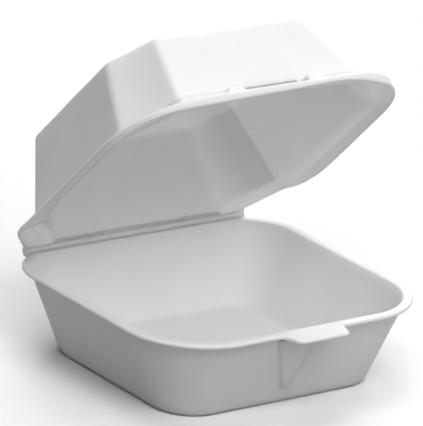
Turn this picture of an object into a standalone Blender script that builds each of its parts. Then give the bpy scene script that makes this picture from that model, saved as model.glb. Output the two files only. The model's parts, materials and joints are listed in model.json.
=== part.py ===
"""Foam clamshell food container: a drafted tray and a hinged, faceted lid.

Frame: origin at the middle of the tray's underside on the table, X to the
right, Y to the back, Z up; the tab faces -Y.  Lengths are metres.  The lid is
modelled shut, then turned about the hinge into the half-open rest pose.
"""
import math

import bmesh
import bpy
from mathutils import Matrix, Vector

# Tray rim, seen from above.
RIM_HALF_WIDTH = 0.0750
RIM_FRONT_Y = -0.0705
RIM_FRONT_RADIUS = 0.0370
RIM_BACK_RADIUS = 0.0275
TRAY_HEIGHT = 0.0405

# Tray walls and floor.
WALL = 0.0022
RIM_STEP = 0.0028
DRAFT_IN = 0.0155
BACK_DRAFT_IN = 0.0107
FLOOR_RADIUS = 0.0192
FLOOR_FILLET = 0.0022
INNER_FILLET = 0.0045
LIP_HEIGHT = 0.0020
LIP_ROUND = 0.0008
RIM_INNER_ROUND = 0.0010
UNDER_RIM_FILLET = 0.0007

# Closing tab on the tray's front rim.
TAB_ROOT_HALF = 0.0155
TAB_TIP_HALF = 0.0143
TAB_REACH = 0.0094
TAB_CORNER = 0.0032
TAB_FLARE = 0.0022
TAB_ROOT_IN = 0.0020
TAB_THICKNESS = 0.0016
TAB_BELOW_RIM = 0.0002
TAB_EDGE = 0.0004

# Raised V gusset pressed out of the wall under the tab.
GUSSET_FOOT_X = -0.0035
GUSSET_TOP_X = -0.0048
GUSSET_INTO_RIM = 0.0004
GUSSET_FOOT_Z = 0.0090
GUSSET_TOP_HALF = 0.0132
GUSSET_FOOT_HALF = 0.0009
GUSSET_PROUD = 0.0030
GUSSET_BITE = 0.0010
GUSSET_RECESS_MARGIN = 0.0022

# Hinge: one pressed strip along the back of each half, split at the axis.
HINGE_Y = 0.0662
HINGE_RISE = 0.0008
HINGE_GAP = 0.0003
STRIP_HALF_LENGTH = 0.0620
STRIP_WIDTH = 0.0090
STRIP_THICKNESS = 0.0016
STRIP_CORNER = 0.0024
STRIP_SINK = 0.0001
STRIP_PROUD = 0.00025
REST_OPEN_DEG = 44.8
HINGE_Z = TRAY_HEIGHT + HINGE_RISE
STRIP_BACK_Y = HINGE_Y - HINGE_GAP / 2
RIM_BACK_Y = STRIP_BACK_Y - STRIP_PROUD

# Lid rim: a flat ledge with an upright skirt round the front and sides.
RIM_CLEARANCE = 0.0004
FRONT_OVERHANG = 0.0070
LEDGE_FRONT_RADIUS = 0.0380
LEDGE_BACK_CUT_X = 0.0195
LEDGE_BACK_CUT_Y = 0.0280
LEDGE_BACK_EASE = 0.0050
LEDGE_THICKNESS = 0.0017
SKIRT_THICKNESS = 0.0016
SKIRT_DROP = 0.0034
SKIRT_FADE = 0.0100
SKIRT_BEFORE_CUT = 0.0028
SHOULDER_ROUND = 0.0012
SKIRT_LIP_ROUND = 0.0005
SKIRT_CORNER_STEP = 0.0006
SKIRT_HALF_WIDTH = RIM_HALF_WIDTH + RIM_CLEARANCE + SKIRT_THICKNESS
SKIRT_FRONT_Y = RIM_FRONT_Y - FRONT_OVERHANG
LEDGE_BACK_Y = RIM_BACK_Y
SKIRT_GONE_Y = LEDGE_BACK_Y - LEDGE_BACK_CUT_Y - SKIRT_BEFORE_CUT

# Lid dome: two eight-sided outlines, at the foot and at the top.
LEDGE_SIDE_WIDTH = 0.0083
LEDGE_FRONT_WIDTH = 0.0082
LEDGE_BACK_WIDTH = 0.0018
FOOT_FRONT_CUT_X = 0.0194
FOOT_FRONT_CUT_Y = 0.0255
FOOT_BACK_CUT_X = 0.0215
FOOT_BACK_CUT_Y = 0.0240
DOME_HEIGHT = 0.0396
DOME_SIDE_DRAFT = 0.0133
DOME_FRONT_DRAFT = 0.0131
DOME_BACK_DRAFT = 0.0153
TOP_FRONT_CUT_X = 0.0161
TOP_FRONT_CUT_Y = 0.0197
TOP_BACK_CUT_X = 0.0159
TOP_BACK_CUT_Y = 0.0155
FACET_EDGE_CUT = 0.0016
FACET_HOLLOW = 0.0007
TOP_FILLET = 0.0020
TOP_INNER_FILLET = 0.0024
FOOT_FILLET = 0.0012
FOOT_HALF_WIDTH = SKIRT_HALF_WIDTH - LEDGE_SIDE_WIDTH
FOOT_FRONT_Y = SKIRT_FRONT_Y + LEDGE_FRONT_WIDTH
FOOT_BACK_Y = LEDGE_BACK_Y - LEDGE_BACK_WIDTH

# Slot for the tab, with a boss at each end.
SLOT_CLEARANCE = 0.0035
SLOT_FROM_EDGE = 0.0014
SLOT_INTO_WALL = 0.0043
SLOT_ABOVE_LEDGE = 0.0050
SLOT_BELOW_LEDGE = 0.0010
BOSS_WIDTH = 0.0080
BOSS_OUTER_SLOPE = 0.0028
BOSS_INNER_SLOPE = 0.0008
BOSS_FROM_EDGE = 0.0007
BOSS_TOP_BACK = 0.0012
BOSS_INTO_WALL = 0.0018
BOSS_HEIGHT = 0.0038
BOSS_BITE = 0.0008
SLOT_HALF_LENGTH = TAB_ROOT_HALF + SLOT_CLEARANCE

# Faceting.
CORNER_STEPS = 20
FILLET_STEPS = 4
EDGE_STEPS = 3

FOAM_COLOUR = (0.86, 0.86, 0.85, 1.0)
FOAM_ROUGHNESS = 0.62


def mix(a, b, share):
    """Straight blend from a to b."""
    return a + (b - a) * share


def foam_material(name):
    """White polystyrene foam with a dull sheen."""
    material = bpy.data.materials.new(name)
    material.use_nodes = True
    shader = material.node_tree.nodes["Principled BSDF"]
    shader.inputs["Base Color"].default_value = FOAM_COLOUR
    shader.inputs["Roughness"].default_value = FOAM_ROUGHNESS
    shader.inputs["Metallic"].default_value = 0.0
    return material


def round_outline(half_x, front, back, front_radius, back_radius):
    """Rounded rectangle, anticlockwise from the left side's front end."""
    corners = (
        (-half_x + front_radius, front + front_radius, front_radius, 180),
        (half_x - front_radius, front + front_radius, front_radius, 270),
        (half_x - back_radius, back - back_radius, back_radius, 0),
        (-half_x + back_radius, back - back_radius, back_radius, 90),
    )
    points = []
    for x, y, radius, start in corners:
        for step in range(CORNER_STEPS + 1):
            angle = math.radians(start + 90 * step / CORNER_STEPS)
            points.append((x + radius * math.cos(angle), y + radius * math.sin(angle)))
    return points


def eased(before, corner, after, reach):
    """Points of a small curve that replaces a polygon's corner."""
    start = corner + (before - corner).normalized() * reach
    end = corner + (after - corner).normalized() * reach
    points = []
    for step in range(EDGE_STEPS + 1):
        t = step / EDGE_STEPS
        points.append(start * (1 - t) ** 2 + corner * 2 * t * (1 - t) + end * t ** 2)
    return points


def kept_cut(cut_x, cut_y, inward):
    """Share of a corner cut that is left when the outline shrinks."""
    length = math.hypot(cut_x, cut_y)
    depth = cut_x * cut_y / length
    return 1 - inward * ((cut_x + cut_y) / length - 1) / depth


def cut_corner(before, first, second, after, reach, hollow):
    """Cut corner from first to second, with eased ends and a hollow middle."""
    lead = eased(before, first, second, reach)
    tail = eased(first, second, after, reach)
    along = (second - first).normalized()
    inwards = Vector((-along.y, along.x)) * hollow
    between = CORNER_STEPS + 1 - 2 * (EDGE_STEPS + 1)
    middle = []
    for step in range(1, between + 1):
        t = step / (between + 1)
        middle.append(lead[-1].lerp(tail[0], t) + inwards * 4 * t * (1 - t))
    return lead + middle + tail


def facet_outline(half_x, front, back, front_cut, back_cut, inward):
    """Eight-sided outline with eased corners and slightly hollow facets."""
    polygon = []
    for sx, y, towards, cut in (
        (-1, front, 1, front_cut), (1, front, 1, front_cut),
        (1, back, -1, back_cut), (-1, back, -1, back_cut),
    ):
        cut_x, cut_y = cut
        keep = kept_cut(cut_x, cut_y, inward)
        x = sx * (half_x - inward)
        y = y + towards * inward
        side = Vector((x, y + towards * cut_y * keep))
        end = Vector((x - sx * cut_x * keep, y))
        polygon += [side, end] if sx * towards < 0 else [end, side]
    points = []
    for index in range(0, 8, 2):
        points += cut_corner(polygon[index - 1], polygon[index], polygon[index + 1],
                             polygon[(index + 2) % 8], FACET_EDGE_CUT, FACET_HOLLOW)
    return [(p.x, p.y) for p in points]


def at_height(outline, z):
    """Outline lifted to one height, or to a height that follows y."""
    if callable(z):
        return [Vector((x, y, z(y))) for x, y in outline]
    return [Vector((x, y, z)) for x, y in outline]


def loft(name, rings):
    """Closed solid through rings of equal count, with both ends capped."""
    mesh = bpy.data.meshes.new(name)
    work = bmesh.new()
    rows = [[work.verts.new(p) for p in ring] for ring in rings]
    count = len(rings[0])
    for lower, upper in zip(rows, rows[1:]):
        for i in range(count):
            j = (i + 1) % count
            work.faces.new((lower[i], lower[j], upper[j], upper[i]))
    work.faces.new(list(reversed(rows[0])))
    work.faces.new(rows[-1])
    bmesh.ops.recalc_face_normals(work, faces=work.faces)
    work.to_mesh(mesh)
    work.free()
    return mesh


def add_object(name, mesh):
    """Object with the mesh, linked into the scene."""
    thing = bpy.data.objects.new(name, mesh)
    bpy.context.scene.collection.objects.link(thing)
    return thing


def prism(name, outline, low, high):
    """Upright prism on an outline."""
    return add_object(name, loft(name, [at_height(outline, low), at_height(outline, high)]))


def wedge(name, low_points, high_points):
    """Closed solid between two loops of equal count."""
    return add_object(name, loft(name, [low_points, high_points]))


def combine(target, tool, operation):
    """Exact Boolean of a tool with the target; the tool is hidden."""
    step = target.modifiers.new(tool.name, "BOOLEAN")
    step.operation = operation
    step.solver = "EXACT"
    step.object = tool
    graph = bpy.context.evaluated_depsgraph_get()
    mesh = bpy.data.meshes.new_from_object(target.evaluated_get(graph))
    target.modifiers.clear()
    old = target.data
    target.data = mesh
    bpy.data.meshes.remove(old)
    bpy.data.objects.remove(tool)


def tray_ring(share, inward, z):
    """Ring of the tray: share 0 is under the rim and 1 at the floor."""
    front_radius = mix(RIM_FRONT_RADIUS - RIM_STEP, FLOOR_RADIUS, share) - inward
    back_radius = mix(RIM_BACK_RADIUS - RIM_STEP, FLOOR_RADIUS, share) - inward
    inset = RIM_STEP + DRAFT_IN * share + inward
    back_inset = RIM_STEP + BACK_DRAFT_IN * share + inward
    outline = round_outline(
        RIM_HALF_WIDTH - inset, RIM_FRONT_Y + inset, RIM_BACK_Y - back_inset,
        front_radius, back_radius,
    )
    return at_height(outline, z)


def tray_floor_curve(base, inward, reach):
    """Rings of the fillet between the floor at height base and the wall."""
    rings = []
    for step in range(FILLET_STEPS + 1):
        t = step / FILLET_STEPS
        z = base + reach * t ** 2
        rings.append(tray_ring(1 - z / TRAY_HEIGHT, inward + reach * (1 - t) ** 2, z))
    return rings


def build_tray():
    """Tray with rolled rim, closing tab, V gusset and hinge strip."""
    top = TRAY_HEIGHT
    under = top - LIP_HEIGHT
    rings = tray_floor_curve(0.0, 0.0, FLOOR_FILLET)
    rings.append(tray_ring(UNDER_RIM_FILLET / top, 0.0, under - UNDER_RIM_FILLET))
    rings.append(tray_ring(0, -UNDER_RIM_FILLET, under))
    for step in range(EDGE_STEPS * 2 + 1):
        turn = math.pi * step / (EDGE_STEPS * 2)
        reach = LIP_ROUND * math.sin(turn) - LIP_ROUND + RIM_STEP
        z = mix(under, top, 0.5 - 0.5 * math.cos(turn))
        rings.append(tray_ring(0, -reach, z))
    for step in range(EDGE_STEPS + 1):
        turn = math.pi / 2 * step / EDGE_STEPS
        inward = WALL - RIM_INNER_ROUND * (1 - math.sin(turn))
        z = top - RIM_INNER_ROUND * (1 - math.cos(turn))
        rings.append(tray_ring(0, inward, z))
    rings += list(reversed(tray_floor_curve(WALL, WALL, INNER_FILLET)))
    tray = add_object("tray", loft("tray", rings))
    combine(tray, hinge_strip("tray_strip", top - STRIP_SINK - STRIP_THICKNESS), "UNION")
    combine(tray, tab(top - TAB_BELOW_RIM), "UNION")
    combine(tray, gusset("gusset", 0.0, 0.0), "UNION")
    combine(tray, gusset("gusset_recess", WALL, GUSSET_RECESS_MARGIN), "DIFFERENCE")
    return tray


def tab_outline(inset):
    """Tab seen from above: flared roots, rounded tip corners."""
    tip_y = RIM_FRONT_Y - TAB_REACH + inset
    right = [(TAB_ROOT_HALF + TAB_FLARE, RIM_FRONT_Y + TAB_ROOT_IN)]
    for step in range(EDGE_STEPS * 2 + 1):
        angle = math.pi / 2 * step / (EDGE_STEPS * 2)
        right.append((TAB_ROOT_HALF + TAB_FLARE * (1 - math.sin(angle)) - inset,
                      RIM_FRONT_Y - TAB_FLARE * (1 - math.cos(angle))))
    for step in range(EDGE_STEPS * 2 + 1):
        angle = math.pi / 2 * step / (EDGE_STEPS * 2)
        right.append((TAB_TIP_HALF - TAB_CORNER * (1 - math.cos(angle)) - inset,
                      tip_y + TAB_CORNER * (1 - math.sin(angle))))
    return right + [(-x, y) for x, y in reversed(right)]


def tab(top):
    """Flat tab with eased upper and lower edges."""
    low = top - TAB_THICKNESS
    rings = [
        at_height(tab_outline(TAB_EDGE), low), at_height(tab_outline(0.0), low + TAB_EDGE),
        at_height(tab_outline(0.0), top - TAB_EDGE), at_height(tab_outline(TAB_EDGE), top),
    ]
    return add_object("tab", loft("tab", rings))


def front_wall_y(z):
    """Outer face of the tray's front wall at a height."""
    return RIM_FRONT_Y + RIM_STEP + DRAFT_IN * (1 - z / TRAY_HEIGHT)


def gusset(name, depth, margin):
    """Wedge that widens from its foot to the rim, equally proud all the way."""
    top_z = TRAY_HEIGHT - LIP_HEIGHT + GUSSET_INTO_RIM - margin
    loops = []
    for move in (depth - GUSSET_PROUD, depth + GUSSET_BITE):
        loop = []
        for z, middle, half in (
            (GUSSET_FOOT_Z + margin, GUSSET_FOOT_X, GUSSET_FOOT_HALF),
            (top_z, GUSSET_TOP_X, GUSSET_TOP_HALF - margin),
        ):
            y = front_wall_y(z) + move
            pair = [Vector((middle - half, y, z)), Vector((middle + half, y, z))]
            loop += pair if not loop else reversed(pair)
        loops.append(loop)
    return wedge(name, loops[0], loops[1])


def hinge_strip(name, low):
    """Flat strip along the back, longer than the straight part of the rim."""
    outline = round_outline(STRIP_HALF_LENGTH, STRIP_BACK_Y - STRIP_WIDTH, STRIP_BACK_Y,
                            STRIP_CORNER, STRIP_CORNER)
    return prism(name, outline, low, low + STRIP_THICKNESS)


def skirt_depth(y):
    """How far the skirt hangs: full in front, nothing round the back."""
    share = 1 - (SKIRT_GONE_Y - y) / SKIRT_FADE
    share = min(max(share, 0.0), 1.0)
    return SKIRT_DROP * (1 - share * share * (3 - 2 * share))


def ledge_ring(inward, z):
    """Ring of the lid's ledge: round in front, cut corners at the back."""
    half_x = SKIRT_HALF_WIDTH - inward
    back = LEDGE_BACK_Y - inward
    outline = round_outline(half_x, SKIRT_FRONT_Y + inward, back,
                            LEDGE_FRONT_RADIUS - inward, LEDGE_FRONT_RADIUS - inward)
    keep = kept_cut(LEDGE_BACK_CUT_X, LEDGE_BACK_CUT_Y, inward)
    side = Vector((half_x, back - LEDGE_BACK_CUT_Y * keep))
    end = Vector((half_x - LEDGE_BACK_CUT_X * keep, back))
    right = cut_corner(Vector((half_x, 0.0)), side, end, Vector((0.0, back)), LEDGE_BACK_EASE, 0.0)
    left = [Vector((-p.x, p.y)) for p in reversed(right)]
    outline[2 * (CORNER_STEPS + 1):] = [(p.x, p.y) for p in right + left]
    return at_height(outline, z)


def dome_ring(share, inward, z):
    """Ring of the dome: share 0 is at the ledge and 1 at the top panel."""
    outline = facet_outline(
        FOOT_HALF_WIDTH - DOME_SIDE_DRAFT * share,
        FOOT_FRONT_Y + DOME_FRONT_DRAFT * share,
        FOOT_BACK_Y - DOME_BACK_DRAFT * share,
        (mix(FOOT_FRONT_CUT_X, TOP_FRONT_CUT_X, share),
         mix(FOOT_FRONT_CUT_Y, TOP_FRONT_CUT_Y, share)),
        (mix(FOOT_BACK_CUT_X, TOP_BACK_CUT_X, share),
         mix(FOOT_BACK_CUT_Y, TOP_BACK_CUT_Y, share)),
        inward,
    )
    return at_height(outline, z)


def dome_top_curve(inward, drop, reach):
    """Rings of the fillet between the wall and the top panel."""
    rings = []
    for step in range(FILLET_STEPS + 1):
        t = step / FILLET_STEPS
        height = DOME_HEIGHT - drop - reach * (1 - t) ** 2
        share = height / DOME_HEIGHT
        rings.append(dome_ring(share, inward + reach * t ** 2, ledge_top() + height))
    return rings


def ledge_under():
    """Underside of the ledge, just over one gap above the tray's rim."""
    return TRAY_HEIGHT + HINGE_GAP + STRIP_SINK


def ledge_top():
    """Upper face of the ledge."""
    return ledge_under() + LEDGE_THICKNESS


def build_lid():
    """Lid with faceted dome, ledge, skirt, slot, bosses and hinge strip."""
    under, over = ledge_under(), ledge_top()
    rings = list(reversed(dome_top_curve(0.0, 0.0, TOP_FILLET)))
    for step in range(EDGE_STEPS + 1):
        turn = math.pi / 2 * step / EDGE_STEPS
        z = over + FOOT_FILLET * (1 - math.sin(turn))
        rings.append(dome_ring((z - over) / DOME_HEIGHT, -FOOT_FILLET * (1 - math.cos(turn)), z))
    for step in range(EDGE_STEPS + 1):
        turn = math.pi / 2 * step / EDGE_STEPS
        rings.append(ledge_ring(SHOULDER_ROUND * (1 - math.sin(turn)),
                                over - SHOULDER_ROUND * (1 - math.cos(turn))))
    rings.append(ledge_ring(0.0, lambda y: under - skirt_depth(y) + SKIRT_LIP_ROUND))
    rings.append(ledge_ring(SKIRT_LIP_ROUND, lambda y: under - skirt_depth(y)))
    rings.append(ledge_ring(SKIRT_THICKNESS, lambda y: under - skirt_depth(y)))
    rings.append(ledge_ring(SKIRT_THICKNESS + SKIRT_CORNER_STEP, under))
    rings.append(dome_ring(0, WALL - FOOT_FILLET, under))
    rings.append(dome_ring(FOOT_FILLET / DOME_HEIGHT, WALL, under + FOOT_FILLET))
    rings += dome_top_curve(WALL, WALL, TOP_INNER_FILLET)
    lid = add_object("lid", loft("lid", rings))
    combine(lid, hinge_strip("lid_strip", under - STRIP_SINK), "UNION")
    for side in (-1, 1):
        combine(lid, boss(side), "UNION")
    slot_front = SKIRT_FRONT_Y + SLOT_FROM_EDGE
    slot_back = FOOT_FRONT_Y + SLOT_INTO_WALL
    slot = prism("slot", [
        (-SLOT_HALF_LENGTH, slot_front), (SLOT_HALF_LENGTH, slot_front),
        (SLOT_HALF_LENGTH, slot_back), (-SLOT_HALF_LENGTH, slot_back),
    ], under - SLOT_BELOW_LEDGE, over + SLOT_ABOVE_LEDGE)
    combine(lid, slot, "DIFFERENCE")
    axis = Vector((0.0, HINGE_Y, HINGE_Z))
    lid.data.transform(Matrix.Translation(-axis))
    lid.data.transform(Matrix.Rotation(-math.radians(REST_OPEN_DEG), 4, "X"))
    lid.location = axis
    return lid


def boss(side):
    """Tapered block on the ledge, against the wall, at one end of the slot."""
    inner, outer = SLOT_HALF_LENGTH, SLOT_HALF_LENGTH + BOSS_WIDTH
    front = SKIRT_FRONT_Y + BOSS_FROM_EDGE
    back = FOOT_FRONT_Y + BOSS_INTO_WALL
    low_loop = [(inner, front), (outer, front), (outer, back), (inner, back)]
    top_inner, top_outer = inner + BOSS_INNER_SLOPE, outer - BOSS_OUTER_SLOPE
    top_front = front + BOSS_TOP_BACK
    high_loop = [(top_inner, top_front), (top_outer, top_front), (top_outer, back), (top_inner, back)]
    name = "boss_left" if side < 0 else "boss_right"
    low = ledge_top() - BOSS_BITE
    high = ledge_top() + BOSS_HEIGHT
    return wedge(name, [Vector((side * x, y, low)) for x, y in low_loop],
                 [Vector((side * x, y, high)) for x, y in high_loop])


for stray in list(bpy.data.objects):
    bpy.data.objects.remove(stray)
tray_object = build_tray()
tray_object.data.materials.clear()
tray_object.data.materials.append(foam_material("tray_foam"))
lid_object = build_lid()
lid_object.data.materials.clear()
lid_object.data.materials.append(foam_material("lid_foam"))
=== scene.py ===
"""Foam clamshell container: the look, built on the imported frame."""
import json
import math

import bmesh
import bpy
from mathutils import Matrix, Vector, noise


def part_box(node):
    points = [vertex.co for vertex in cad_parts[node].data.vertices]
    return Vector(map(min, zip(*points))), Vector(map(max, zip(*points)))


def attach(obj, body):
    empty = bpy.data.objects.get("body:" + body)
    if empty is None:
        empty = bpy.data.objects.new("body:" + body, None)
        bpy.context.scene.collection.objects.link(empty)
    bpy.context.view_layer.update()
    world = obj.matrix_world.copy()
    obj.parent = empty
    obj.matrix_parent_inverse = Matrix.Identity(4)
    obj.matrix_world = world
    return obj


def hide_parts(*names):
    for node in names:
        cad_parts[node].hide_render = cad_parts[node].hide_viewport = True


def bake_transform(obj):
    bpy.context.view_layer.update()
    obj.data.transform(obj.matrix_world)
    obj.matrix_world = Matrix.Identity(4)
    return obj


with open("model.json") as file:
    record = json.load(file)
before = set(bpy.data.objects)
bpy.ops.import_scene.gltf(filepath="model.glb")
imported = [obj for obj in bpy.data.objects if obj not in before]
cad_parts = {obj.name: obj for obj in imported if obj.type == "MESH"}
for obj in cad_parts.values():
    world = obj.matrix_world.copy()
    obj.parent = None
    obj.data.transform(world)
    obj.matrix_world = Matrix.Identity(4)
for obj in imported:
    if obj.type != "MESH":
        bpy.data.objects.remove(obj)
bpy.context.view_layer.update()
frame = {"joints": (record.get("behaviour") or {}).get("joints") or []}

# Foam
# White extruded polystyrene sheet: a tight skin over fine closed cells.
def group_foam_skin():
    """Node group: closed cells, fine grain and slow mottling."""
    tree = bpy.data.node_groups.new("foam_skin", "ShaderNodeTree")
    face = tree.interface
    face.new_socket("Cell size", in_out="INPUT", socket_type="NodeSocketFloat")
    face.new_socket("Relief", in_out="INPUT", socket_type="NodeSocketFloat")
    face.new_socket("Tone", in_out="OUTPUT", socket_type="NodeSocketFloat")
    face.new_socket("Roughness", in_out="OUTPUT", socket_type="NodeSocketFloat")
    face.new_socket("Normal", in_out="OUTPUT", socket_type="NodeSocketVector")
    nodes, links = tree.nodes, tree.links
    inputs, outputs = nodes.new("NodeGroupInput"), nodes.new("NodeGroupOutput")
    place = nodes.new("ShaderNodeTexCoord")
    cells = nodes.new("ShaderNodeTexVoronoi")
    cells.feature = "SMOOTH_F1"
    cells.inputs["Smoothness"].default_value = 0.6
    links.new(place.outputs["Object"], cells.inputs["Vector"])
    links.new(inputs.outputs["Cell size"], cells.inputs["Scale"])
    grain = nodes.new("ShaderNodeTexNoise")
    grain.inputs["Scale"].default_value = 420.0
    grain.inputs["Detail"].default_value = 5.0
    grain.inputs["Roughness"].default_value = 0.62
    links.new(place.outputs["Object"], grain.inputs["Vector"])
    mottle = nodes.new("ShaderNodeTexNoise")
    mottle.inputs["Scale"].default_value = 38.0
    mottle.inputs["Detail"].default_value = 3.0
    links.new(place.outputs["Object"], mottle.inputs["Vector"])
    relief = nodes.new("ShaderNodeMath")
    relief.operation = "MULTIPLY_ADD"
    relief.inputs[1].default_value = 0.45
    links.new(cells.outputs["Distance"], relief.inputs[0])
    links.new(grain.outputs["Fac"], relief.inputs[2])
    bump = nodes.new("ShaderNodeBump")
    bump.inputs["Distance"].default_value = 0.00012
    links.new(inputs.outputs["Relief"], bump.inputs["Strength"])
    links.new(relief.outputs[0], bump.inputs["Height"])
    slow = nodes.new("ShaderNodeBump")
    slow.inputs["Strength"].default_value = 0.35
    slow.inputs["Distance"].default_value = 0.0006
    links.new(mottle.outputs["Fac"], slow.inputs["Height"])
    links.new(bump.outputs["Normal"], slow.inputs["Normal"])
    tone = nodes.new("ShaderNodeMapRange")
    tone.inputs["From Min"].default_value = 0.3
    tone.inputs["From Max"].default_value = 0.7
    tone.inputs["To Min"].default_value = 0.0
    tone.inputs["To Max"].default_value = 1.0
    links.new(mottle.outputs["Fac"], tone.inputs["Value"])
    rough = nodes.new("ShaderNodeMapRange")
    rough.inputs["From Min"].default_value = 0.3
    rough.inputs["From Max"].default_value = 0.7
    rough.inputs["To Min"].default_value = 0.42
    rough.inputs["To Max"].default_value = 0.62
    links.new(grain.outputs["Fac"], rough.inputs["Value"])
    links.new(tone.outputs[0], outputs.inputs["Tone"])
    links.new(rough.outputs[0], outputs.inputs["Roughness"])
    links.new(slow.outputs["Normal"], outputs.inputs["Normal"])
    return tree


def foam(name, light, dark, cell, relief):
    """Foam material with its own tones, cell size and relief."""
    material = bpy.data.materials.new(name)
    material.use_nodes = True
    nodes, links = material.node_tree.nodes, material.node_tree.links
    shader = nodes["Principled BSDF"]
    group = nodes.new("ShaderNodeGroup")
    group.node_tree = foam_skin
    group.inputs["Cell size"].default_value = cell
    group.inputs["Relief"].default_value = relief
    blend = nodes.new("ShaderNodeMix")
    blend.data_type = "RGBA"
    blend.inputs["A"].default_value = dark
    blend.inputs["B"].default_value = light
    links.new(group.outputs["Tone"], blend.inputs["Factor"])
    links.new(blend.outputs["Result"], shader.inputs["Base Color"])
    links.new(group.outputs["Roughness"], shader.inputs["Roughness"])
    links.new(group.outputs["Normal"], shader.inputs["Normal"])
    shader.inputs["Subsurface Weight"].default_value = 1.0
    shader.inputs["Subsurface Radius"].default_value = (1.0, 1.0, 1.0)
    shader.inputs["Subsurface Scale"].default_value = 0.0045
    shader.inputs["Specular IOR Level"].default_value = 0.35
    return material


foam_skin = group_foam_skin()
tray_foam = foam("tray_foam_skin", (0.93, 0.93, 0.93, 1), (0.89, 0.89, 0.89, 1), 1500.0, 0.5)
lid_foam = foam("lid_foam_skin", (0.93, 0.93, 0.93, 1), (0.89, 0.89, 0.89, 1), 1500.0, 0.5)
web_foam = foam("hinge_foam_skin", (0.90, 0.90, 0.90, 1), (0.82, 0.82, 0.82, 1), 900.0, 0.9)

# Tray
# One thermoformed sheet: conical corners, a rolled rim drawn out into the
# closing tab, and a V gusset pressed out of the front wall under it.
tray_low, tray_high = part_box("tray")
RIM_HALF, TRAY_TOP = tray_high.x, tray_high.z
RIM_FRONT, RIM_BACK = -0.0705, 0.0658
WALL, STEP = 0.0022, 0.0028
DRAFT, BACK_DRAFT, FLOOR_R = 0.0155, 0.0107, 0.0192
RIM_FRONT_R, RIM_BACK_R, LEAST_R = 0.0370, 0.0275, 0.002
LIP_LOW = TRAY_TOP - 0.0020
LIP_ROOT, LIP_ROUND, MOUTH_ROUND = 0.0007, 0.0009, 0.0011
FOOT_FILLET, FLOOR_FILLET = 0.0022, 0.0030
TAB_TIP, TAB_ROOT, TAB_REACH = 0.0143, 0.0155, 0.0094
TAB_CORNER, TAB_FLARE = 0.0034, 0.0022
TAB_MIDDLE, TAB_THIN, TAB_THINS_BY = 0.0010, 0.8, 0.0030
V_PROUD, V_EDGE, V_REACH, V_MARGIN = 0.0030, 0.0010, 0.0210, 0.0030
V_OUTER = ((0.0090, -0.0035, 0.0009), (0.0389, -0.0048, 0.0132))
V_INNER = ((0.0112, -0.0035, 0.0009), (0.0367, -0.0048, 0.0110))
SOFT = ((-0.00055, 1.0), (-0.00020, 0.93), (0.0, 0.70), (0.00010, 0.30), (0.00030, 0.07), (0.00065, 0.0))
V_FLAT, TAB_SIDE, WIDE, ARC, FLANK, REAR = 4, 3, 10, 32, 14, 30
CENTRE_SHARE, PANEL_RINGS = 0.08, 8
TRAY_UNEVEN, SHARP_FROM = (0.00012, 0.018, 3.1), 38
# Heights of the wall rows, up outside and down inside, and their number
# where they lie close together: at both ends of the V gusset.
OUTER_FOOT, OUTER_V_FOOT = [0.0040, 0.0060, 0.0076], (0.0083, 0.0095, 7)
OUTER_WALL, BELOW_LIP = 0.0112, 0.0010
INNER_TOP, INNER_V_TOP, INNER_WALL = 0.0374, (0.0372, 0.0360, 6), (0.0345, 0.0128, 11)
INNER_V_FOOT, INNER_FOOT = (0.0117, 0.0105, 6), [0.0092, 0.0078]
RIM_FLAT, RIM_FLAT_TAB = 0.0012, 0.35


def mix(a, b, share):
    return a + (b - a) * share


def clamped(value):
    return min(max(value, 0.0), 1.0)


def smooth(share):
    return share * share * (3 - 2 * share)


def spread(a, b, count, ends=True):
    """Even values from a to b; without ends, only those between."""
    if ends:
        return [mix(a, b, i / (count - 1)) for i in range(count)]
    return [mix(a, b, (i + 1) / (count + 1)) for i in range(count)]


def between(p, q, count):
    """Points from p up to, but not at, q."""
    return [p.lerp(q, s) for s in spread(0, 1, count, False)]


def skin(name, rows, holes=()):
    """Closed shell from rows of points; holes are (row, column) face marks."""
    work = bmesh.new()
    grid = [[work.verts.new(p) for p in row] for row in rows]
    count = len(rows[0])
    for r in range(len(rows) - 1):
        for c in range(count):
            if (r, c) in holes:
                continue
            d = (c + 1) % count
            work.faces.new((grid[r][c], grid[r][d], grid[r + 1][d], grid[r + 1][c]))
    work.faces.new(list(reversed(grid[0])))
    work.faces.new(grid[-1])
    if holes:
        rim = [e for e in work.edges if len(e.link_faces) == 1]
        bmesh.ops.bridge_loops(work, edges=rim)
    bmesh.ops.recalc_face_normals(work, faces=work.faces)
    mesh = bpy.data.meshes.new(name)
    work.to_mesh(mesh)
    work.free()
    return mesh


def uneven(mesh, amount, wave, seed):
    """Slow wander of the surface, as a thermoformed foam sheet has."""
    shift = Vector((seed, -seed, 2.0 * seed))
    normals = [v.normal.copy() for v in mesh.vertices]
    for v, n in zip(mesh.vertices, normals):
        v.co += n * amount * noise.noise(v.co / wave + shift)


def finish_mesh(mesh, angle):
    mesh.shade_smooth()
    mesh.set_sharp_from_angle(angle=math.radians(angle))


def add(name, mesh):
    thing = bpy.data.objects.new(name, mesh)
    bpy.context.scene.collection.objects.link(thing)
    return thing


def tab_half():
    """Right half of the rim's front outline as (x, forward) pairs."""
    straight = TAB_TIP - TAB_CORNER
    pts = [(x, TAB_REACH) for x in spread(0.0, straight, V_FLAT + len(SOFT) + 1)[1:]]
    for a in spread(0, math.pi / 2, 8)[1:]:
        pts.append((straight + TAB_CORNER * math.sin(a), TAB_REACH - TAB_CORNER * (1 - math.cos(a))))
    x0, f0 = pts[-1]
    pts += [(mix(x0, TAB_ROOT, s), mix(f0, TAB_FLARE, s)) for s in spread(0, 1, TAB_SIDE, False)]
    for a in spread(0, math.pi / 2, 8):
        pts.append((TAB_ROOT + TAB_FLARE * (1 - math.cos(a)), TAB_FLARE * (1 - math.sin(a))))
    return pts


TAB_PTS = tab_half()
BESIDE = len(TAB_PTS) - V_FLAT - len(SOFT)


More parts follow.
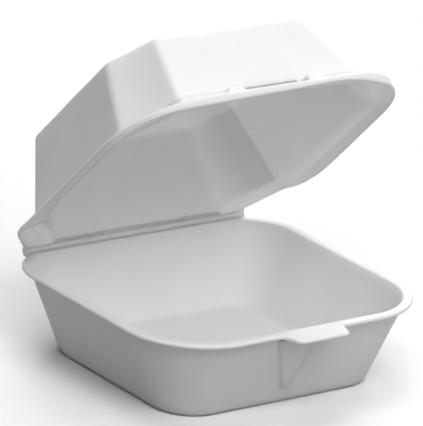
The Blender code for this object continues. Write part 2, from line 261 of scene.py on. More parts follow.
def rim_front(straight):
    """(x, forward) of the rim's columns to the right of the middle."""
    last = TAB_PTS[-1][0]
    return TAB_PTS + [(x, 0.0) for x in spread(last, straight, WIDE + 1)[1:]]


def wall_front(straight, z, shape):
    """Left and right (x, proud) lists of a wall row across the V gusset."""
    (z0, x0, w0), (z1, x1, w1) = shape
    share = clamped((z - z0) / (z1 - z0))
    middle, half = mix(x0, x1, share), mix(w0, w1, share)
    low = clamped((z - z0 + 0.6 * V_EDGE) / V_EDGE)
    high = 1.0 if shape is V_OUTER else clamped((z1 - z + 0.5 * V_EDGE) / V_EDGE)
    level = V_PROUD * smooth(low) * high
    sides = []
    for sign in (-1, 1):
        inner = max(half + SOFT[0][0], 0.2 * V_EDGE)
        row = [(middle + sign * x, level) for x in spread(0.0, inner, V_FLAT + 1)[1:]]
        row += [(middle + sign * (half + dx), level * p) for dx, p in SOFT]
        edge = row[-1][0]
        reach = sign * max(V_REACH, abs(edge) + V_MARGIN)
        row += [(x, 0.0) for x in spread(edge, reach, BESIDE + 1)[1:]]
        row += [(x, 0.0) for x in spread(reach, sign * straight, WIDE + 1)[1:]]
        sides.append(row)
    return middle, level, sides


def tab_level(forward, z):
    """The tab is a little thinner than the rolled rim and lies within it."""
    middle = TRAY_TOP - TAB_MIDDLE
    return mix(z, middle + (z - middle) * TAB_THIN, min(forward / TAB_THINS_BY, 1.0))


def tray_row(share, inward, z, rim=0.0, squeeze=1.0, shape=V_OUTER):
    """One row of the tray: share 0 under the rim, 1 at the floor."""
    rf = max(mix(RIM_FRONT_R - STEP, FLOOR_R, share) - inward, LEAST_R)
    rb = max(mix(RIM_BACK_R - STEP, FLOOR_R, share) - inward, LEAST_R)
    inset = STEP + DRAFT * share + inward
    hx, y0 = RIM_HALF - inset, RIM_FRONT + inset
    y1 = RIM_BACK - STEP - BACK_DRAFT * share - inward
    if rim:
        right = [Vector((x, y0 - f * rim, tab_level(f, z))) for x, f in rim_front(hx - rf)]
        left = [Vector((-p.x, p.y, p.z)) for p in right]
        centre = Vector((0.0, y0 - TAB_REACH * rim, tab_level(TAB_REACH, z)))
    else:
        middle, level, sides = wall_front(hx - rf, z, shape)
        left, right = [[Vector((x, y0 - p, z)) for x, p in side] for side in sides]
        centre = Vector((middle, y0 - level, z))
    fr, br, bl, fl = [
        [Vector((cx + r * math.cos(a), cy + r * math.sin(a), z))
         for a in spread(math.radians(start), math.radians(start + 90), ARC + 1)]
        for cx, cy, r, start in ((hx - rf, y0 + rf, rf, 270), (hx - rb, y1 - rb, rb, 0),
                                 (-hx + rb, y1 - rb, rb, 90), (-hx + rf, y0 + rf, rf, 180))]
    pts = list(reversed(left)) + [centre] + right
    pts += fr[1:] + between(fr[-1], Vector((hx, y1 - rb, z)), FLANK)
    pts += br + between(br[-1], Vector((-hx + rb, y1, z)), REAR)
    pts += bl + between(bl[-1], Vector((-hx, y0 + rf, z)), FLANK) + fl[:-1]
    return [Vector((p.x * squeeze, p.y * squeeze, p.z)) for p in pts]


def wall_rows(heights, inward, shape):
    return [tray_row(1 - z / TRAY_TOP, inward, z, shape=shape) for z in heights]


def tray_rows():
    """Rows from the underside's middle, over the rim, to the floor's middle."""
    rows = [tray_row(1, FOOT_FILLET, 0.0, squeeze=s) for s in spread(CENTRE_SHARE, 1.0, 7)[:-1]]
    for t in spread(0, 1, 7):
        z = FOOT_FILLET * t * t
        rows.append(tray_row(1 - z / TRAY_TOP, FOOT_FILLET * (1 - t) ** 2, z))
    outer_heights = OUTER_FOOT + spread(*OUTER_V_FOOT)
    outer_heights += spread(OUTER_WALL, LIP_LOW - BELOW_LIP, 16)
    rows += wall_rows(outer_heights, 0.0, V_OUTER)
    for a in spread(0, math.pi / 2, 4):
        rows.append(tray_row(0, -LIP_ROOT * (1 - math.cos(a)), LIP_LOW - LIP_ROOT * (1 - math.sin(a))))
    for a in spread(0, math.pi, 11):
        reach = STEP - LIP_ROUND + LIP_ROUND * math.sin(a)
        rows.append(tray_row(0, -reach, mix(LIP_LOW, TRAY_TOP, 0.5 - 0.5 * math.cos(a)), rim=1.0))
    rows.append(tray_row(0, -RIM_FLAT, TRAY_TOP, rim=RIM_FLAT_TAB))
    for a in spread(0, math.pi / 2, 6):
        inward = WALL - MOUTH_ROUND * (1 - math.sin(a))
        rows.append(tray_row(0, inward, TRAY_TOP - MOUTH_ROUND * (1 - math.cos(a)), shape=V_INNER))
    inner_heights = spread(TRAY_TOP - 2 * MOUTH_ROUND, INNER_TOP, 3) + spread(*INNER_V_TOP)
    inner_heights += spread(*INNER_WALL) + spread(*INNER_V_FOOT) + INNER_FOOT
    rows += wall_rows(inner_heights, WALL, V_INNER)
    for t in reversed(spread(0, 1, 9)):
        z = WALL + FLOOR_FILLET * t * t
        rows.append(tray_row(1 - z / TRAY_TOP, WALL + FLOOR_FILLET * (1 - t) ** 2, z, shape=V_INNER))
    for s in reversed(spread(CENTRE_SHARE, 1.0, PANEL_RINGS)[:-1]):
        rows.append(tray_row(1 - WALL / TRAY_TOP, WALL + FLOOR_FILLET, WALL, squeeze=s, shape=V_INNER))
    return rows


tray_mesh = skin("tray_shell", tray_rows())
uneven(tray_mesh, *TRAY_UNEVEN)
finish_mesh(tray_mesh, SHARP_FROM)
tray_shell = add("tray_shell", tray_mesh)
tray_shell.data.materials.append(tray_foam)
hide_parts("tray")
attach(tray_shell, "tray")

# Lid
# Eight-sided dome with hollow corner facets on a flat ledge; the skirt, the
# slot for the tab and its two end bosses are part of the same sheet. It is
# drawn shut and then turned open about the hinge, which stops short of shut.
hinge = frame["joints"][0]
lid_low, lid_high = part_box("lid")
HINGE = Vector(hinge["pos_m"])
SHORT_OF_SHUT = 1.3
OPEN = math.radians(SHORT_OF_SHUT - hinge["range_deg"][0])
LEDGE_GAP, LEDGE_THICK = 0.0004, 0.0017
UNDER = TRAY_TOP + LEDGE_GAP
OVER = UNDER + LEDGE_THICK
SKIRT_HALF, SKIRT_FRONT, SKIRT_FRONT_R = lid_high.x, -0.0775, 0.0380
FOOT_HALF, FOOT_FRONT, FOOT_BACK = 0.0687, -0.0693, 0.0640
DOME_TALL = 0.0396
SIDE_DRAFT, FRONT_DRAFT, REAR_DRAFT = 0.0133, 0.0131, 0.0153
FOOT_CUTS = ((0.0194, 0.0255), (0.0215, 0.0240))
TOP_CUTS = ((0.0161, 0.0197), (0.0159, 0.0155))
FACET_EASE, FACET_HOLLOW = 0.0021, 0.0007
TOP_ROUND, TOP_ROUND_INSIDE = 0.0021, 0.0026
FOOT_WIDE, FOOT_NARROW, FOOT_HELD = 0.0045, 0.0012, 0.0031
MOUTH_WIDE, MOUTH_NARROW = 0.0030, 0.0020
EDGE_WIDE, EDGE_NARROW = 0.0013, 0.0003
LIP_WIDE, LIP_NARROW, LIP_SOFT = 0.0007, 0.0003, 0.0005
HINGE_FROM, HINGE_OVER = 0.0440, 0.0140
BEAD_PROUD, BEAD_FROM, BEAD_OVER, BEAD_FULL = 0.0008, 0.0620, 0.0130, 0.0025
SLOT_HALF, SLOT_MIDDLE, SLOT_COLUMNS = 0.01705, -0.00215, 8
BOSS_RISE = 0.0030
BOSS_LEFT = ((0.0, 0.0), (0.0003, 0.22), (0.0009, 0.62), (0.0016, 0.94), (0.0022, 1.0), (0.0074, 1.0),
             (0.0080, 0.93), (0.0094, 0.35), (0.0102, 0.07), (0.0108, 0.0))
BOSS_RIGHT = ((0.0, 0.0), (0.0003, 0.90), (0.0009, 1.0), (0.0062, 1.0), (0.0068, 0.92), (0.0080, 0.50),
              (0.0087, 0.22), (0.0094, 0.05), (0.0102, 0.0), (0.0108, 0.0))
BOSS_XS = (0.0, 0.0003, 0.0009, 0.0016, 0.0022, 0.0032, 0.0042, 0.0052, 0.0062, 0.0068, 0.0074, 0.0080,
           0.0087, 0.0094, 0.0102, 0.0108)
LID_FRONT_XS = spread(0.0, SLOT_HALF, SLOT_COLUMNS + 1)[1:-1] + [SLOT_HALF + x for x in BOSS_XS]
LEDGE_CUTS, LEDGE_EASE = {1: (0.0221, 0.0258), -1: (0.0165, 0.0218)}, 0.0060
SKIRT_CENTRE = 0.006
SKIRT_DROPS = (
    (-122.5, 0.0), (-120.3, 0.0009), (-116.8, 0.0024), (-110.0, 0.0055), (-104.6, 0.0048),
    (-96.7, 0.0036), (-75.4, 0.0035), (-61.1, 0.0027), (-54.6, 0.0018), (-48.0, 0.0016),
    (-42.2, 0.0019), (-33.6, 0.0030), (-28.9, 0.0031), (-15.6, 0.0024), (5.6, 0.0019),
    (20.0, 0.0012), (26.0, 0.0014), (33.2, 0.0031), (38.8, 0.0041), (62.3, 0.0044),
    (89.0, 0.0051), (101.7, 0.0053), (107.3, 0.0051), (111.3, 0.0045), (116.3, 0.0033),
    (119.7, 0.0021), (123.7, 0.0004), (126.0, 0.0))
TAIL, CORNER, EASED, SIDE, BACK = 7, 34, 7, 16, 30
LID_HALF = len(LID_FRONT_XS) + TAIL
LID_UNEVEN = (0.00012, 0.020, 7.7)
# Heights of the wall rows beside the slot, and where the even ones start
# and how far under the top edge they stop.
SLOT_OUTSIDE, SLOT_INSIDE = [0.0096, 0.0078, 0.0066, 0.0058], (0.0040, 0.0054, 0.0067)
OUTSIDE_FROM, OUTSIDE_STOP, INSIDE_FROM, INSIDE_STOP = 0.0115, 0.0015, 0.0062, 0.0012
# How far rows lie within the ledge's outline, with what goes along it: the
# bosses' share, the waist's share down the skirt, the groove's depth.
SHOULDER_WIDE, SHOULDER_NARROW = 0.0028, 0.0005
BOSS_FADE, BOSS_FADE_NARROW, BOSS_END = ((0.0021, 1.0), (0.0018, 0.85), (0.0015, 0.45)), 0.2, 0.12
WAIST = ((0.2, 1.0), (0.4, 1.0), (0.55, 0.9), (0.65, 0.65), (0.75, 0.25), (0.85, 0.0))
SKIRT_INSIDE, SKIRT_ROOT = (0.7, 0.4, 0.15), ((0.0016, 0.0007, 0.0001), (0.0020, 0.0009, 0.0))
GROOVE = ((0.35, 0.0), (0.60, 0.0002), (0.75, 0.0005), (0.85, 0.0006), (0.93, 0.0002))


def eased(before, corner, after, reach, count):
    """Rounded corner of a plan outline."""
    start = corner + (before - corner).normalized() * reach
    end = corner + (after - corner).normalized() * reach
    return [start * (1 - t) ** 2 + corner * 2 * t * (1 - t) + end * t * t for t in spread(0, 1, count)]


def kept(cut, inward):
    """Share of a corner cut that stays where the outline is drawn inwards."""
    length = math.hypot(*cut)
    return 1 - inward * (sum(cut) / length - 1) * length / (cut[0] * cut[1])


def cut_corner(before, first, second, after, reach, hollow):
    """Cut corner with eased ends and a slightly hollow face."""
    lead = eased(before, first, second, reach, EASED)
    tail = eased(first, second, after, reach, EASED)
    along = (second - first).normalized()
    inwards = Vector((-along.y, along.x)) * hollow
    shares = spread(0, 1, CORNER - 2 * EASED, False)
    return lead + [lead[-1].lerp(tail[0], t) + inwards * 4 * t * (1 - t) for t in shares] + tail


def close_row(front_y, half_front, corners):
    """Whole row from its front columns and its four corner curves."""
    row = []
    for side in (-1, 1):
        last = side * LID_FRONT_XS[-1] + SLOT_MIDDLE
        xs = [side * x + SLOT_MIDDLE for x in LID_FRONT_XS] + spread(last, side * half_front, TAIL + 2)[1:-1]
        row += [Vector((x, front_y)) for x in (reversed(xs) if side < 0 else [SLOT_MIDDLE] + xs)]
    fr, br, bl, fl = corners
    return (row + fr + between(fr[-1], br[0], SIDE) + br + between(br[-1], bl[0], BACK)
            + bl + between(bl[-1], fl[0], SIDE) + fl)


def dome_row(height, inward, squeeze=1.0):
    """Dome outline at a height over the ledge, drawn inwards by the sheet."""
    share = height / DOME_TALL
    hx = FOOT_HALF - SIDE_DRAFT * share - inward
    y0 = FOOT_FRONT + FRONT_DRAFT * share + inward
    y1 = FOOT_BACK - REAR_DRAFT * share - inward
    cuts = [(mix(a[0], b[0], share), mix(a[1], b[1], share)) for a, b in zip(FOOT_CUTS, TOP_CUTS)]
    (fx, fy), (bx, by) = [(c[0] * kept(c, inward), c[1] * kept(c, inward)) for c in cuts]
    poly = [Vector(p) for p in ((hx - fx, y0), (hx, y0 + fy), (hx, y1 - by), (hx - bx, y1),
                                (-hx + bx, y1), (-hx, y1 - by), (-hx, y0 + fy), (-hx + fx, y0))]
    corners = [cut_corner(poly[i - 1], poly[i], poly[i + 1], poly[(i + 2) % 8], FACET_EASE, FACET_HOLLOW)
               for i in (0, 2, 4, 6)]
    row = close_row(y0, corners[0][0].x, corners)
    if squeeze < 1.0:
        middle = Vector((0.0, (y0 + y1) / 2))
        row = [middle + (p - middle) * squeeze for p in row]
    return row


def ledge_row(inward):
    """Ledge outline: round front corners, cut back corners."""
    hx, y0, y1 = SKIRT_HALF - inward, SKIRT_FRONT + inward, RIM_BACK - inward
    r = SKIRT_FRONT_R - inward
    fr = []
    for a in spread(math.radians(270), math.radians(360), CORNER):
        fr.append(Vector((hx - r + r * math.cos(a), y0 + r + r * math.sin(a))))
    fl = [Vector((-p.x, p.y)) for p in reversed(fr)]
    rear = {}
    for side, cut in LEDGE_CUTS.items():
        k = kept(cut, inward)
        flank, end = Vector((hx, y1 - cut[1] * k)), Vector((hx - cut[0] * k, y1))
        rear[side] = cut_corner(Vector((hx, 0.0)), flank, end, Vector((0.0, y1)), LEDGE_EASE, 0.0)
    bl = [Vector((-p.x, p.y)) for p in reversed(rear[-1])]
    return close_row(y0, fr[0].x, [fr, rear[1], bl, fl])


def read_off(table, at):
    """Value read off a table of (place, value) pairs."""
    for (x0, v0), (x1, v1) in zip(table, table[1:]):
        if x0 < at <= x1:
            return mix(v0, v1, (at - x0) / (x1 - x0))
    return 0.0


def skirt_drop(p):
    """How far the skirt hangs below the ledge: the sheet came out wavy."""
    return read_off(SKIRT_DROPS, math.degrees(math.atan2(p.x, -p.y - SKIRT_CENTRE)))


def lip_soft(p):
    """Height of the lip's rounding, less where the skirt runs out."""
    return LIP_SOFT * min(1.0, skirt_drop(p) / (2 * LIP_SOFT))


def part_dropped(s):
    """Height of a skirt row between the ledge, 0, and the lip, 1."""
    return lambda p: UNDER - (skirt_drop(p) - lip_soft(p)) * s


def lip_height(a):
    """Height of a row round the skirt's lower edge."""
    return lambda p: UNDER - skirt_drop(p) + lip_soft(p) * (1 - math.sin(a))


def boss_rise(x, on):
    """Height of the end bosses over a front column."""
    along = x - SLOT_MIDDLE
    return BOSS_RISE * on * read_off(BOSS_LEFT if along < 0 else BOSS_RIGHT, abs(along) - SLOT_HALF)


def lifted(row, z, on=0.0):
    """Row at a height; on raises the boss columns of the front."""
    out = []
    for i, p in enumerate(row):
        rise = boss_rise(p.x, on) if i < 2 * LID_HALF + 1 else 0.0
        out.append(Vector((p.x, p.y, (z(p) if callable(z) else z) + rise)))
    return out


def towards_hinge(row, hinge_row):
    """Row that turns into another one along the narrow ledge at the hinge."""
    return [p.lerp(q, smooth(clamped((p.y - HINGE_FROM) / HINGE_OVER))) for p, q in zip(row, hinge_row)]


def pinched(row, amount=1.0):
    """Row drawn in along the sides, which leaves a bead at the lip."""
    out = []
    for p in row:
        share = clamped((abs(p.x) - BEAD_FROM) / BEAD_OVER) * min(1.0, skirt_drop(p) / BEAD_FULL)
        out.append(p - Vector((math.copysign(BEAD_PROUD * amount * smooth(share), p.x), 0, 0)))
    return out


def held_in(row, reach):
    """Row kept within the ledge's round front corners."""
    out = []
    for p in row:
        centre = Vector((math.copysign(SKIRT_HALF - SKIRT_FRONT_R, p.x), SKIRT_FRONT + SKIRT_FRONT_R, p.z))
        away = p - centre
        if away.x * p.x > 0 and away.y < 0 and away.length > reach:
            p = centre + away.normalized() * reach
        out.append(p)
    return out


def foot_row(a):
    """Hollow fillet from the wall to the ledge, narrow at the hinge."""
    both = []
    for f in (FOOT_WIDE, FOOT_NARROW):
        h = f * (1 - math.sin(a))
        both.append(lifted(dome_row(h, -f * (1 - math.cos(a))), OVER + h, max(0.0, 1 - h / BOSS_RISE)))
    return held_in(towards_hinge(*both), SKIRT_FRONT_R - FOOT_HELD)


def mouth_row(a):
    """Rounded inner edge between the ledge's underside and the wall."""
    both = []
    for f in (MOUTH_WIDE, MOUTH_NARROW):
        h = f * (1 - math.cos(a))
        both.append(lifted(dome_row(h - LEDGE_THICK, WALL - f * (1 - math.sin(a))), UNDER + h))
    return towards_hinge(*both)


def outer_rows():
    """Dome from the top panel's middle to the ledge; where the slot starts."""
    rows = [lifted(dome_row(DOME_TALL, TOP_ROUND, s), OVER + DOME_TALL)
            for s in spread(CENTRE_SHARE, 1.0, PANEL_RINGS)[:-1]]
    for t in reversed(spread(0, 1, 8)):
        h = DOME_TALL - TOP_ROUND * (1 - t) ** 2
        rows.append(lifted(dome_row(h, TOP_ROUND * t * t), OVER + h))
    heights = list(reversed(spread(OUTSIDE_FROM, DOME_TALL - TOP_ROUND - OUTSIDE_STOP, 16)))
    for h in heights + SLOT_OUTSIDE:
        rows.append(lifted(dome_row(h, 0.0), OVER + h))
    slot_top = len(rows) - 1
    rows += [foot_row(a) for a in spread(0, math.pi / 2, 9)]
    shoulder = pinched(towards_hinge(lifted(ledge_row(SHOULDER_WIDE), OVER, 1.0),
                                     lifted(ledge_row(SHOULDER_NARROW), OVER)))
    rows.append([p.lerp(q, 0.5) for p, q in zip(rows[-1], shoulder)])
    rows.append(shoulder)
    return rows, slot_top


def edge_rows():
    """Ledge's outer edge; bosses fade out over it."""
    rows = []
    for inward, on in BOSS_FADE:
        rows.append(pinched(towards_hinge(lifted(ledge_row(inward), OVER, on),
                                          lifted(ledge_row(inward * BOSS_FADE_NARROW), OVER))))
    for a in spread(0, math.pi / 2, 6):
        low = OVER - EDGE_WIDE * (1 - math.cos(a))
        wide = lifted(ledge_row(EDGE_WIDE * (1 - math.sin(a))), low, BOSS_END if a == 0 else 0.0)
        narrow = lifted(ledge_row(EDGE_NARROW * (1 - math.sin(a))), low)
        rows.append(pinched(towards_hinge(wide, narrow)))
    return rows


def skirt_rows():
    """Skirt's outer side, lip and inner side, up to the ledge's underside."""
    rows = []
    for s, waist in WAIST:
        rows.append(pinched(lifted(ledge_row(0.0), part_dropped(s)), waist))
    for a in spread(0, math.pi, 7):
        turned = 1 - math.cos(a)
        rows.append(towards_hinge(lifted(ledge_row(LIP_WIDE * turned), lip_height(a)),
                                  lifted(ledge_row(LIP_NARROW * turned), lip_height(a))))
    for s in SKIRT_INSIDE:
        rows.append(towards_hinge(lifted(ledge_row(2 * LIP_WIDE), part_dropped(s)),
                                  lifted(ledge_row(2 * LIP_NARROW), UNDER)))
    for wide, narrow, low in SKIRT_ROOT:
        rows.append(towards_hinge(lifted(ledge_row(wide), UNDER - low), lifted(ledge_row(narrow), UNDER)))
    return rows


def inner_rows(under):
    """Grooved underside of the ledge, its inner edge and the dome's inside."""
    rows = []
    mouth = mouth_row(0.0)
    for s, groove in GROOVE:
        flat = [p.lerp(q, s) for p, q in zip(under, mouth)]
        rows.append(towards_hinge([p + Vector((0, 0, groove)) for p in flat], flat))
    rows += [mouth_row(a) for a in spread(0, math.pi / 2, 8)]
    for h in SLOT_INSIDE:
        rows.append(lifted(dome_row(h - LEDGE_THICK, WALL), UNDER + h))
    slot_rows = len(rows)
    tall = DOME_TALL - WALL
    for h in spread(INSIDE_FROM, tall - TOP_ROUND_INSIDE - INSIDE_STOP, 16):
        rows.append(lifted(dome_row(h, WALL), OVER + h))
    for t in spread(0, 1, 8):
        h = tall - TOP_ROUND_INSIDE * (1 - t) ** 2
        rows.append(lifted(dome_row(h, WALL + TOP_ROUND_INSIDE * t * t), OVER + h))
    for s in reversed(spread(CENTRE_SHARE, 1.0, PANEL_RINGS)[:-1]):
        rows.append(lifted(dome_row(tall, WALL + TOP_ROUND_INSIDE, s), OVER + tall))
    return rows, slot_rows


def stepped(tree, value, stops):
    """Value run through a ramp of (place, level) stops."""
    ramp = tree.nodes.new("ShaderNodeValToRGB")
    points = ramp.color_ramp.elements
    for i, (at, level) in enumerate(stops):
        point = points[i] if i < 2 else points.new(at)
        point.position, point.color = at, (level, level, level, 1)
    tree.links.new(value, ramp.inputs[0])
    return ramp.outputs["Color"]


def worked(tree, operation, *terms):
    """Math node on sockets and numbers."""
    node = tree.nodes.new("ShaderNodeMath")
    node.operation = operation
    for socket, term in zip(node.inputs, terms):
        if isinstance(term, float):
            socket.default_value = term
        else:
            tree.links.new(term, socket)
    return node.outputs[0]


# Where the painted shade lies. Slope of the rear facets in plan, and where they start and end across it,
# at the foot and how much that changes up to the top panel.
FACET_X, FACET_Y = 0.667, -0.745
FACET_LOW, FACET_LOW_GAIN = -0.0160, 0.0060
FACET_WIDE, FACET_WIDE_GAIN = 0.0320, -0.0098
FOLD_SLOPE, FOLD_Y = -100.0, -0.060


def paint_shade_on_lid_foam(material):
    """Painted shade: a darker tone on the rear facets and along the front wall's fold above the ledge."""
    tree = material.node_tree
    shader = tree.nodes["Principled BSDF"]
    shut = tree.nodes.new("ShaderNodeMapping")
    shut.inputs["Rotation"].default_value = (OPEN, 0.0, 0.0)
    shut.inputs["Location"].default_value = -(Matrix.Rotation(OPEN, 3, "X") @ HINGE)
    tree.links.new(tree.nodes.new("ShaderNodeTexCoord").outputs["Object"], shut.inputs["Vector"])
    split = tree.nodes.new("ShaderNodeSeparateXYZ")
    tree.links.new(shut.outputs[0], split.inputs[0])
    share = worked(tree, "MULTIPLY_ADD", split.outputs["Z"], 1 / DOME_TALL, (HINGE.z - OVER) / DOME_TALL)
    across = worked(tree, "MULTIPLY_ADD", split.outputs["Y"], FACET_Y, FACET_Y * HINGE.y)
    across = worked(tree, "MULTIPLY_ADD", worked(tree, "ABSOLUTE", split.outputs["X"]), FACET_X, across)
    low = worked(tree, "MULTIPLY_ADD", share, FACET_LOW_GAIN, FACET_LOW)
    wide = worked(tree, "MULTIPLY_ADD", share, FACET_WIDE_GAIN, FACET_WIDE)
    place = worked(tree, "DIVIDE", worked(tree, "SUBTRACT", across, low), wide)
    # mask of the painted shade on the rear facets
    rear = worked(tree, "MULTIPLY",
                  stepped(tree, place, ((0.05, 0.0), (0.62, 1.0), (0.985, 1.0), (1.0, 0.0))),
                  stepped(tree, share, ((0.0, 0.0), (0.05, 1.0), (0.93, 1.0), (0.97, 0.0))))
    # mask of the painted shade along the fold at the foot of the front wall
    front = worked(tree, "MULTIPLY_ADD", split.outputs["Y"], FOLD_SLOPE, FOLD_SLOPE * (HINGE.y - FOLD_Y))
    fold_shade = worked(tree, "MULTIPLY",
                  stepped(tree, share, ((0.050, 0.0), (0.075, 0.9), (0.098, 0.9), (0.140, 0.0))),
                  stepped(tree, front, ((0.0, 0.0), (0.4, 1.0))))
    plain = shader.inputs["Base Color"].links[0].from_socket
    # painted shade: the foam's tone times 0.8 wherever either mask is on
    painted_shade = tree.nodes.new("ShaderNodeMix")
    painted_shade.data_type, painted_shade.blend_type = "RGBA", "MULTIPLY"
    painted_shade.inputs["B"].default_value = (0.80, 0.80, 0.80, 1)
    tree.links.new(worked(tree, "MAXIMUM", rear, fold_shade), painted_shade.inputs["Factor"])
    tree.links.new(plain, painted_shade.inputs["A"])
    tree.links.new(painted_shade.outputs["Result"], shader.inputs["Base Color"])


outside, slot_top = outer_rows()
edge, skirt = edge_rows(), skirt_rows()
inside, slot_rows = inner_rows(skirt[-1])
slot_front = len(outside) + 2
under_front = len(outside) + len(edge) + len(skirt) - 1
holes = set()
for column in range(LID_HALF - SLOT_COLUMNS, LID_HALF + SLOT_COLUMNS):
    holes |= {(r, column) for r in range(slot_top + 1, slot_front)}
    holes |= {(r, column) for r in range(under_front, under_front + slot_rows)}
lid_mesh = skin("lid_shell", outside + edge + skirt + inside, holes)
uneven(lid_mesh, *LID_UNEVEN)
to_hinge = Matrix.Translation(HINGE)
lid_mesh.transform(to_hinge @ Matrix.Rotation(-OPEN, 4, "X") @ to_hinge.inverted())
finish_mesh(lid_mesh, SHARP_FROM)
lid_shell = add("lid_shell", lid_mesh)
# paint shade into the lid foam's colour on the rear facets and the front fold
paint_shade_on_lid_foam(lid_foam)
lid_shell.data.materials.append(lid_foam)
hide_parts("lid")
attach(lid_shell, "lid")

# Hinge web
# The pressed strip that joins both halves: thinner foam with two creases,
# its ends tapered out. It is drawn bent between tray and lid, with the lid open.
WEB_HALF, WEB_TAPER, WEB_END = 0.0622, 0.0050, 0.0055
WEB_THINNED, WEB_FACE_SHARE, WEB_BACK_SHARE = 0.80, 0.6, 0.4
WEB_BULGE, WEB_LOW, WEB_HIGH, WEB_SEAT = 0.0010, 0.0016, 0.0015, 0.0004
WEB_FACE = ((0.0618, 0.0403), (0.0624, 0.0404), (0.0630, 0.0404), (0.0634, 0.0406), (0.0632, 0.0409),
            (0.0630, 0.0413), (0.0630, 0.0417), (0.0631, 0.0421), (0.0633, 0.0425), (0.0637, 0.0428))
WEB_ON_TRAY, WEB_ON_LID, WEB_ON_SEAT = (0.0618, 0.0655, 5), (0.0658, 0.0622, 6), (0.0634, 0.0622, 5)
WEB_ENDS, WEB_COLUMNS = (0.0, 0.0003, 0.0009, 0.0018, 0.0030, 0.0042), 60
WEB_UNEVEN, WEB_SHARP_FROM = (0.00015, 0.006, 11.3), 40


def on_open_lid(y, z):
    """Side-view place of a point given on the shut lid."""
    dy, dz = y - HINGE.y, z - HINGE.z
    return Vector((HINGE.y + dy * math.cos(OPEN) + dz * math.sin(OPEN),
                   HINGE.z - dy * math.sin(OPEN) + dz * math.cos(OPEN)))


def web_back():
    """Outer side of the web in the side view, from tray to lid."""
    tray_side = [Vector((y, TRAY_TOP - WEB_LOW)) for y in spread(*WEB_ON_TRAY)]
    lid_side = [on_open_lid(y, UNDER + WEB_HIGH) for y in spread(*WEB_ON_LID)]
    a, bulge, b = tray_side[-1], Vector((HINGE.y + WEB_BULGE, HINGE.z)), lid_side[0]
    turn = [a * (1 - t) ** 2 + bulge * 2 * t * (1 - t) + b * t * t for t in spread(0, 1, 4, False)]
    return tray_side + turn + lid_side


def web_rows():
    """Rings of the web from its left end to its right end."""
    back = web_back()
    face = [Vector(p) for p in WEB_FACE]
    face += [on_open_lid(y, UNDER + WEB_SEAT) for y in spread(*WEB_ON_SEAT)]
    xs = [x - WEB_HALF for x in WEB_ENDS] + spread(WEB_END - WEB_HALF, WEB_HALF - WEB_END, WEB_COLUMNS)
    xs += [WEB_HALF - x for x in reversed(WEB_ENDS)]
    rows = []
    for x in xs:
        end = 1 - min(1.0, (WEB_HALF - abs(x)) / WEB_TAPER)
        thin = WEB_THINNED * end * end
        ring = [p.lerp(q, thin * WEB_FACE_SHARE) for p, q in zip(face, back)]
        ring += reversed([q.lerp(p, thin * WEB_BACK_SHARE) for p, q in zip(face, back)])
        rows.append([Vector((x, p.x, p.y)) for p in ring])
    return rows


web_mesh = skin("hinge_web", web_rows())
uneven(web_mesh, *WEB_UNEVEN)
finish_mesh(web_mesh, WEB_SHARP_FROM)
hinge_web = add("hinge_web", web_mesh)
hinge_web.data.materials.append(web_foam)
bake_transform(hinge_web)

# Stage
# Pale floor and room that read as the photo's white ground but throw little
# light back, soft suns from above and in front, and the photo's camera.
def seen_white(tree, shown, thrown):
    """Colour socket: shown to camera, gloss and glass, thrown elsewhere."""
    nodes, links = tree.nodes, tree.links
    path = nodes.new("ShaderNodeLightPath")
    glossy = nodes.new("ShaderNodeMath")
    glossy.operation = "MAXIMUM"
    links.new(path.outputs["Is Camera Ray"], glossy.inputs[0])
    links.new(path.outputs["Is Glossy Ray"], glossy.inputs[1])
    clear = nodes.new("ShaderNodeMath")
    clear.operation = "MAXIMUM"
    links.new(glossy.outputs[0], clear.inputs[0])
    links.new(path.outputs["Is Transmission Ray"], clear.inputs[1])
    pick = nodes.new("ShaderNodeMix")
    pick.data_type = "RGBA"
    pick.inputs["A"].default_value = (thrown, thrown, thrown, 1)
    pick.inputs["B"].default_value = (shown, shown, shown, 1)
    links.new(clear.outputs[0], pick.inputs["Factor"])
    return pick.outputs["Result"]


REACH = 8.0
FLOOR_THROWS, ROOM_THROWS = 0.25, 0.008
floor_mesh = bpy.data.meshes.new("floor")
floor_mesh.from_pydata([(-REACH, -REACH, 0), (REACH, -REACH, 0), (REACH, REACH, 0), (-REACH, REACH, 0)],
                       [], [(0, 1, 2, 3)])
floor = add("floor", floor_mesh)
floor_paint = bpy.data.materials.new("floor_paint")
floor_paint.use_nodes = True
floor_shader = floor_paint.node_tree.nodes["Principled BSDF"]
floor_colour = seen_white(floor_paint.node_tree, 1.0, FLOOR_THROWS)
floor_paint.node_tree.links.new(floor_colour, floor_shader.inputs["Base Color"])
floor_shader.inputs["Roughness"].default_value = 1.0
floor_shader.inputs["Specular IOR Level"].default_value = 0.0
floor_mesh.materials.append(floor_paint)

world = bpy.data.worlds.new("room")
bpy.context.scene.world = world
world.use_nodes = True
world_light = world.node_tree.nodes["Background"]
world.node_tree.links.new(seen_white(world.node_tree, 1.0, ROOM_THROWS), world_light.inputs["Color"])


LAMP_SPREAD = 34.0


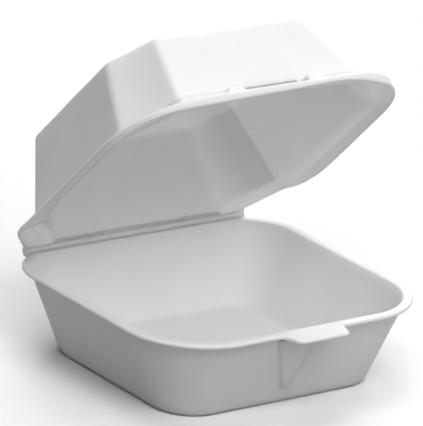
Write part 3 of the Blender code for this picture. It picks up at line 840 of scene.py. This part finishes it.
def soft_sun(name, azimuth, elevation, level):
    """Soft sun: azimuth 0 stands behind the object, 180 in front of it."""
    data = bpy.data.lights.new(name, "SUN")
    data.energy = math.pi * level
    data.angle = math.radians(LAMP_SPREAD)
    lamp = bpy.data.objects.new(name, data)
    bpy.context.scene.collection.objects.link(lamp)
    az, el = math.radians(azimuth), math.radians(elevation)
    towards = Vector((math.sin(az) * math.cos(el), math.cos(az) * math.cos(el), math.sin(el)))
    lamp.location = towards
    lamp.rotation_euler = towards.to_track_quat("Z", "Y").to_euler()


LAMPS = (("key", 222, 50, 0.250), ("front_high", 180, 50, 0.290), ("front_low", 180, 20, 0.120),
         ("top", 0, 80, 0.300), ("back_high", 45, 50, 0.110), ("back_low", 45, 20, 0.270),
         ("right_high", 120, 45, 0.100))
for lamp in LAMPS:
    soft_sun(*lamp)

AZIMUTH, ELEVATION, ROLL = math.radians(37.73), math.radians(19.23), math.radians(4.55)
DISTANCE, CENTRE_X, CENTRE_Y = 2.06552, -0.00016, 0.06760
FOCAL_PX, PHOTO_WIDE_PX, SENSOR_MM = 4571.15, 423.0, 36.0
back = Vector((-math.sin(AZIMUTH) * math.cos(ELEVATION), -math.cos(AZIMUTH) * math.cos(ELEVATION),
               math.sin(ELEVATION)))
level = (-back).cross(Vector((0, 0, 1))).normalized()
upright = level.cross(-back)
right = level * math.cos(ROLL) + upright * math.sin(ROLL)
up = upright * math.cos(ROLL) - level * math.sin(ROLL)
camera_data = bpy.data.cameras.new("camera")
camera_data.sensor_fit = "HORIZONTAL"
camera_data.sensor_width = SENSOR_MM
camera_data.lens = FOCAL_PX * SENSOR_MM / PHOTO_WIDE_PX
camera_data.clip_end = 100.0
camera = bpy.data.objects.new("camera", camera_data)
bpy.context.scene.collection.objects.link(camera)
turn = Matrix((right, up, back)).transposed().to_4x4()
camera.matrix_world = Matrix.Translation(right * CENTRE_X + up * CENTRE_Y + back * DISTANCE) @ turn
bpy.context.scene.camera = camera
bpy.context.scene.view_settings.view_transform = "Standard"
